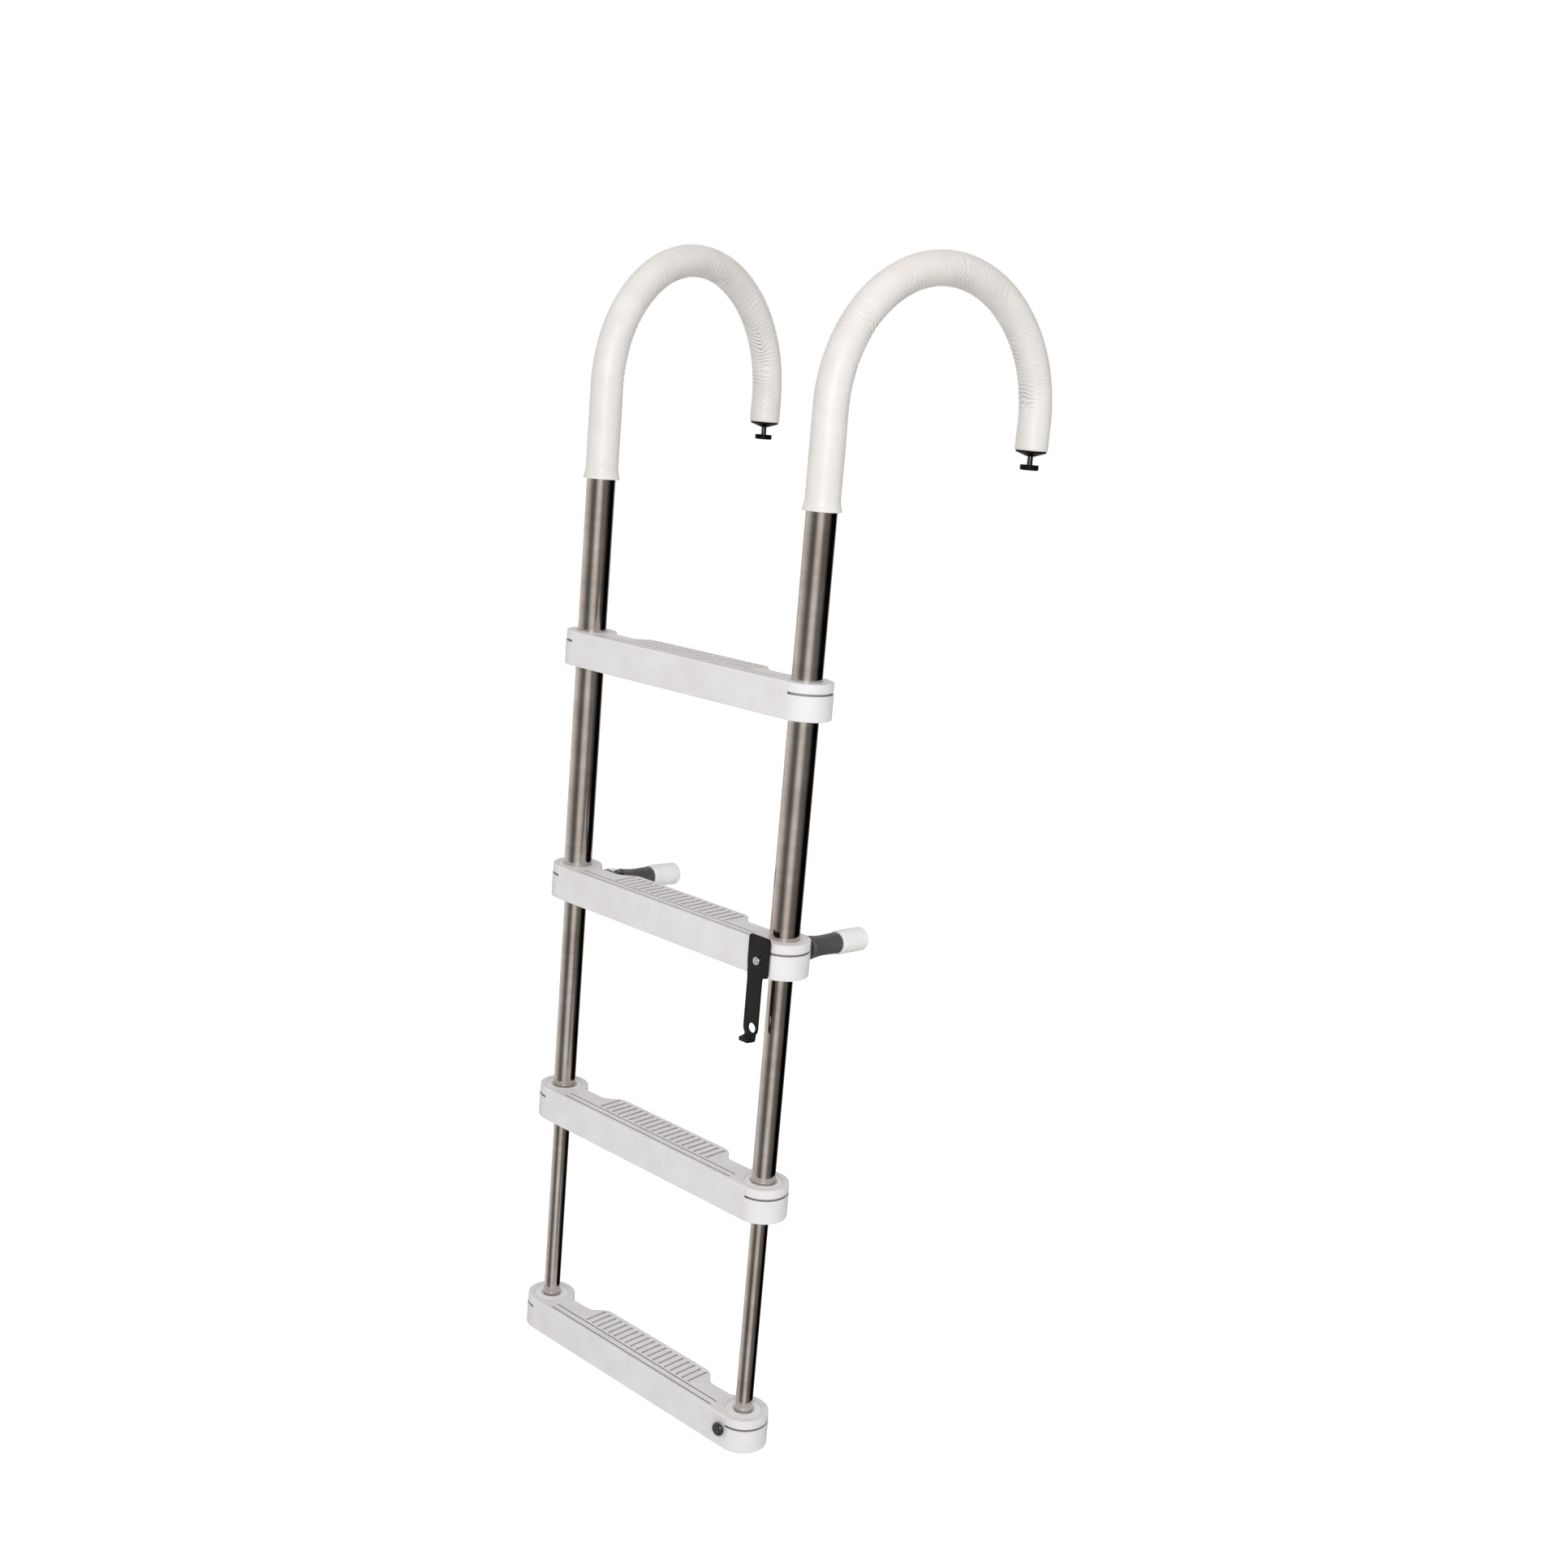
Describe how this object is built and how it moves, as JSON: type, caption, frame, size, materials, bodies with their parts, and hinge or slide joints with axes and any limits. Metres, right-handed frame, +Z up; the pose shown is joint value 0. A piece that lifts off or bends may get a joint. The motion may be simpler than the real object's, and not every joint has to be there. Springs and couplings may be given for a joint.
{
  "type": "telescoping boat boarding ladder",
  "caption": "Telescoping boat boarding ladder: tube hooks go over the gunwale, inner rails slide up into the outer ones, and hinged standoffs hold it off the hull.",
  "frame": {"origin": "midway between the two hooks, on the line where their crowns rest on the gunwale", "axes": "+Z up, +Y inboard over the gunwale, +X to starboard when the ladder hangs on the stern"},
  "size_m": [0.4308, 0.344, 1.2695],
  "materials": {
    "polished_stainless": "polished",
    "white_vinyl": "satin",
    "step_plastic": "moulded satin",
    "white_nylon": "moulded satin",
    "black_nylon": "moulded satin",
    "white_rubber": "matt",
    "black_rubber": "matt",
    "fastener_steel": "bright"
  },
  "bodies": {
    "upper_section": {"port_hook_rail": "polished_stainless", "starboard_hook_rail": "polished_stainless", "port_hook_sleeve": "white_vinyl", "starboard_hook_sleeve": "white_vinyl", "port_hook_plug": "white_nylon", "starboard_hook_plug": "white_nylon", "port_hook_washer": "black_nylon", "starboard_hook_washer": "black_nylon", "port_button_stem": "fastener_steel", "starboard_button_stem": "fastener_steel", "port_hook_button": "black_nylon", "starboard_hook_button": "black_nylon", "port_middle_guide": "white_nylon", "starboard_middle_guide": "white_nylon", "port_standoff_bracket": "black_nylon", "starboard_standoff_bracket": "black_nylon", "port_standoff_screw": "fastener_steel", "starboard_standoff_screw": "fastener_steel", "port_standoff_pin": "fastener_steel", "starboard_standoff_pin": "fastener_steel", "step_1": "step_plastic", "step_2": "step_plastic", "step_1_screws": "fastener_steel", "step_2_screws": "fastener_steel", "strap_head": "black_rubber", "strap_screw": "fastener_steel"},
    "middle_section": {"port_middle_rail": "polished_stainless", "starboard_middle_rail": "polished_stainless", "port_middle_stop": "white_nylon", "starboard_middle_stop": "white_nylon", "port_step_3_bushing": "white_nylon", "starboard_step_3_bushing": "white_nylon", "port_lower_guide": "white_nylon", "starboard_lower_guide": "white_nylon", "step_3": "step_plastic", "step_3_screws": "fastener_steel"},
    "lower_section": {"port_lower_rail": "polished_stainless", "starboard_lower_rail": "polished_stainless", "port_lower_stop": "white_nylon", "starboard_lower_stop": "white_nylon", "port_step_4_bushing": "white_nylon", "starboard_step_4_bushing": "white_nylon", "port_foot_plug": "white_nylon", "starboard_foot_plug": "white_nylon", "step_4": "step_plastic", "step_4_screws": "fastener_steel", "latch_stud": "fastener_steel"},
    "port_standoff": {"port_standoff_arm": "black_nylon", "port_standoff_tip": "white_rubber"},
    "starboard_standoff": {"starboard_standoff_arm": "black_nylon", "starboard_standoff_tip": "white_rubber"},
    "strap": {"strap_tail": "black_rubber"}
  },
  "joints": [
    {"name": "middle_slide", "type": "slide", "parent": "upper_section", "child": "middle_section", "axis": [0, 0, 1], "range_m": [0, 0.229]},
    {"name": "lower_slide", "type": "slide", "parent": "middle_section", "child": "lower_section", "axis": [0, 0, 1], "range_m": [0, 0.229]},
    {"name": "port_standoff_hinge", "type": "hinge", "parent": "upper_section", "child": "port_standoff", "pos_m": [-0.148, -0.10093, -0.6835], "axis": [0, 0, -1], "range_deg": [0, 90]},
    {"name": "starboard_standoff_hinge", "type": "hinge", "parent": "upper_section", "child": "starboard_standoff", "pos_m": [0.148, -0.10093, -0.6835], "axis": [0, 0, 1], "range_deg": [0, 90]},
    {"name": "strap_hinge", "type": "hinge", "parent": "upper_section", "child": "strap", "pos_m": [0.1535, -0.17263, -0.6996], "axis": [-1, 0, 0], "range_deg": [0, 90]}
  ]
}
